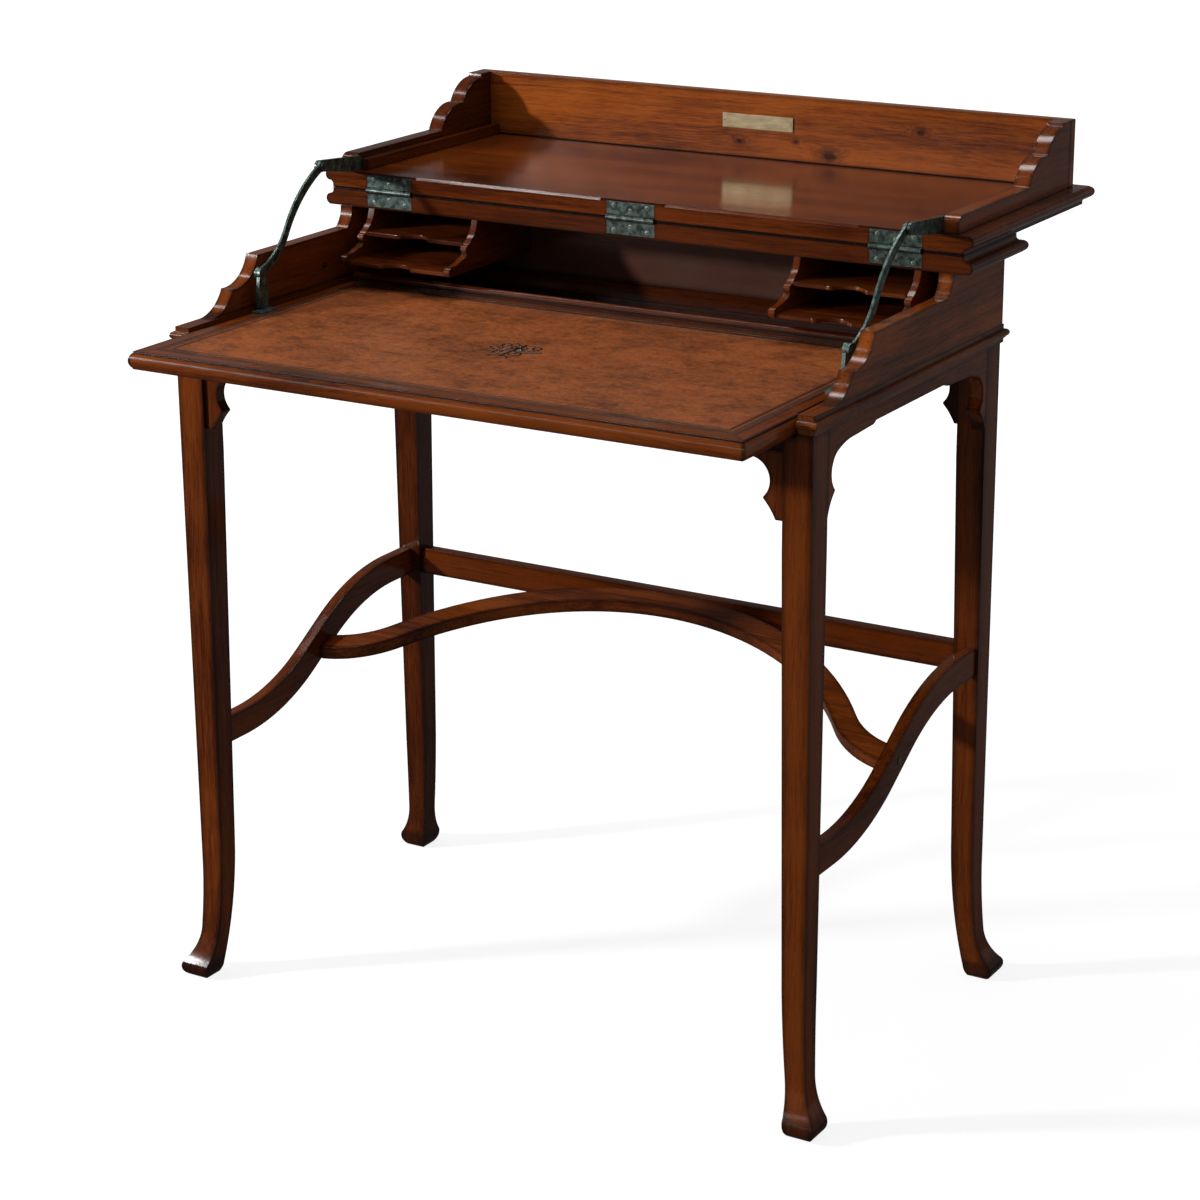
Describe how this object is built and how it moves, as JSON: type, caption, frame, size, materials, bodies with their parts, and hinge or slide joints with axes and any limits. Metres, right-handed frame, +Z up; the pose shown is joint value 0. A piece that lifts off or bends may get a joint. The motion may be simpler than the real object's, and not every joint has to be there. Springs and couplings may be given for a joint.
{
  "type": "writing desk",
  "caption": "Small campaign writing desk with a fold-back galleried flap on butt hinges, curved stays that draw out the leather-lined slab, letter racks and sabre legs.",
  "frame": {"origin": "on the floor, below the centre of the open desk's bounding box", "axes": "+X to the sitter's right, +Y away from the sitter to the desk's back, +Z up"},
  "size_m": [0.813, 0.742, 0.9565],
  "materials": {
    "mahogany": "French-polished red-brown mahogany, gloss",
    "leather": "aged brown hide, blind tooled, soft sheen",
    "dark_metal": "dark green-grey patina, satin",
    "brass": "dull brushed brass"
  },
  "bodies": {
    "frame": {"base_moulding_left": "mahogany", "base_moulding_rear": "mahogany", "base_moulding_right": "mahogany", "bracket_front_left": "mahogany", "bracket_front_right": "mahogany", "bracket_rear_left": "mahogany", "bracket_rear_right": "mahogany", "case_back": "mahogany", "case_side_left": "mahogany", "case_side_right": "mahogany", "cross_stretcher": "mahogany", "fixed_top": "mahogany", "front_rail": "mahogany", "hinge_leaves_fixed": "dark_metal", "hinge_pins": "dark_metal", "leg_front_left": "mahogany", "leg_front_right": "mahogany", "leg_rear_left": "mahogany", "leg_rear_right": "mahogany", "rack_left_inner_end": "mahogany", "rack_left_lower_shelf": "mahogany", "rack_left_outer_end": "mahogany", "rack_left_upper_shelf": "mahogany", "rack_right_inner_end": "mahogany", "rack_right_lower_shelf": "mahogany", "rack_right_outer_end": "mahogany", "rack_right_upper_shelf": "mahogany", "rear_apron": "mahogany", "rear_stretcher": "mahogany", "side_apron_left": "mahogany", "side_apron_right": "mahogany", "side_stretcher_left": "mahogany", "side_stretcher_right": "mahogany", "slab_runner_left": "mahogany", "slab_runner_right": "mahogany", "stop_pegs": "mahogany", "stretcher_screws": "dark_metal", "well_floor": "mahogany"},
    "flap": {"flap_board": "mahogany", "gallery_back": "mahogany", "gallery_side_left": "mahogany", "gallery_side_right": "mahogany", "gallery_batten_left": "mahogany", "gallery_batten_right": "mahogany", "hinge_leaves_flap": "dark_metal", "name_plate": "brass", "stay_plate_left": "dark_metal", "stay_plate_right": "dark_metal"},
    "slab": {"slab_core": "mahogany", "slab_border_front": "mahogany", "slab_border_rear": "mahogany", "slab_border_left": "mahogany", "slab_border_right": "mahogany", "slab_lip": "mahogany", "leather_skiver": "leather", "stay_foot_left": "dark_metal", "stay_foot_right": "dark_metal"},
    "left_stay": {"stay_link_left": "dark_metal"},
    "right_stay": {"stay_link_right": "dark_metal"}
  },
  "joints": [
    {"name": "flap_hinge", "type": "hinge", "parent": "frame", "child": "flap", "pos_m": [0, 0.0457, 0.86125], "axis": [1, 0, 0], "range_deg": [0, 180]},
    {"name": "slab_slide", "type": "slide", "parent": "frame", "child": "slab", "axis": [0, 1, 0], "range_m": [0, 0.1015]},
    {"name": "left_stay_pivot", "type": "hinge", "parent": "flap", "child": "left_stay", "pos_m": [-0.3625, -0.0213, 0.8983], "axis": [1, 0, 0], "range_deg": [-209.7, 0]},
    {"name": "right_stay_pivot", "type": "hinge", "parent": "flap", "child": "right_stay", "pos_m": [0.3625, -0.0213, 0.8983], "axis": [1, 0, 0], "range_deg": [-209.7, 0]}
  ],
  "couplings": [
    {"joint": "slab_slide", "follows": "flap_hinge", "m_per_rad": 0.032296},
    {"joint": "left_stay_pivot", "follows": "flap_hinge", "ratio": -1.1645},
    {"joint": "right_stay_pivot", "follows": "flap_hinge", "ratio": -1.1645}
  ]
}
